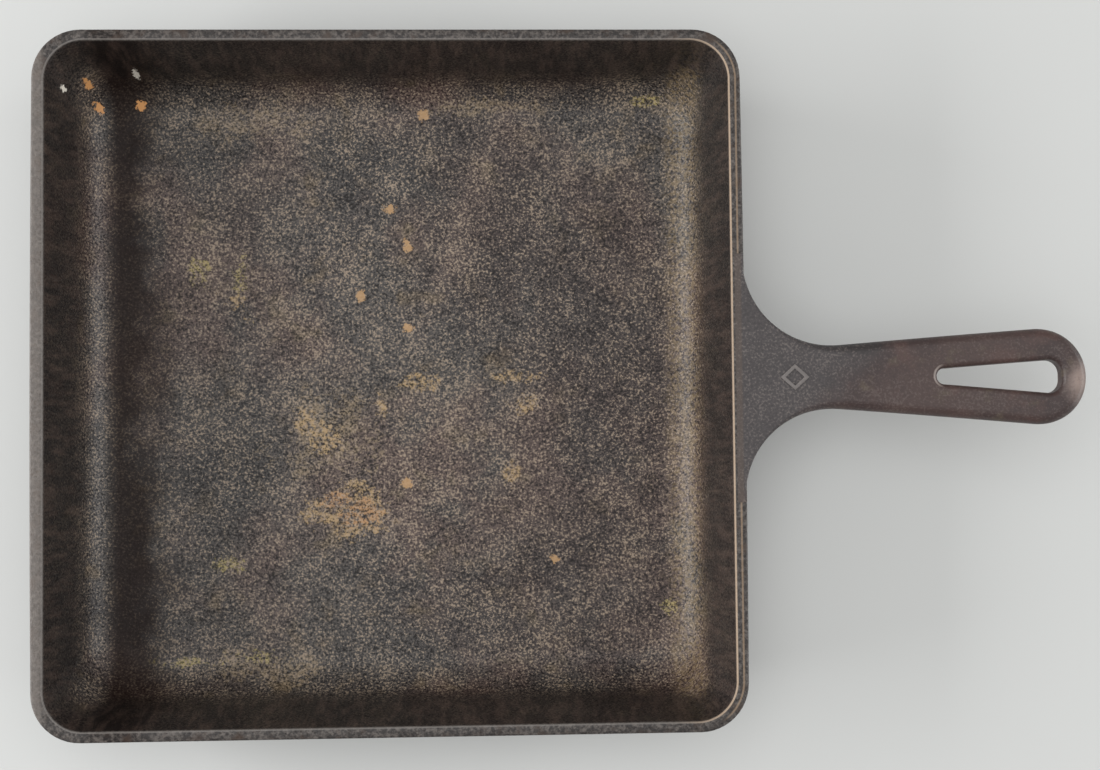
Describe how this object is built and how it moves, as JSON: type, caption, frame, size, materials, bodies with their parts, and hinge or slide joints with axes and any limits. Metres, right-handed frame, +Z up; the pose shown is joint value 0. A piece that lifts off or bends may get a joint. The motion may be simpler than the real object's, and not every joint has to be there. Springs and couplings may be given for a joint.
{
  "type": "skillet",
  "caption": "Square cast-iron skillet with drafted walls, round-cornered rim, coved floor and a flat flared handle that ends in a teardrop hanging eye.",
  "frame": {"origin": "centre of the flat base under the pan", "axes": "+X from the pan's centre out along the handle, +Y to the left when looking along the handle, +Z up out of the pan's mouth"},
  "size_m": [0.3981, 0.266, 0.0518],
  "materials": {
    "seasoned_iron": "used and dry-rubbed seasoning: satin brown-black with worn rim edges and light rust stains on the cooking floor"
  },
  "bodies": {
    "root": {"pan_floor": "seasoned_iron", "wall_near": "seasoned_iron", "wall_far": "seasoned_iron", "wall_left": "seasoned_iron", "wall_right": "seasoned_iron", "corner_left_near": "seasoned_iron", "corner_left_far": "seasoned_iron", "corner_right_near": "seasoned_iron", "corner_right_far": "seasoned_iron", "handle_root": "seasoned_iron", "handle_grip": "seasoned_iron", "hanging_loop": "seasoned_iron", "raised_mark": "seasoned_iron"}
  },
  "joints": []
}
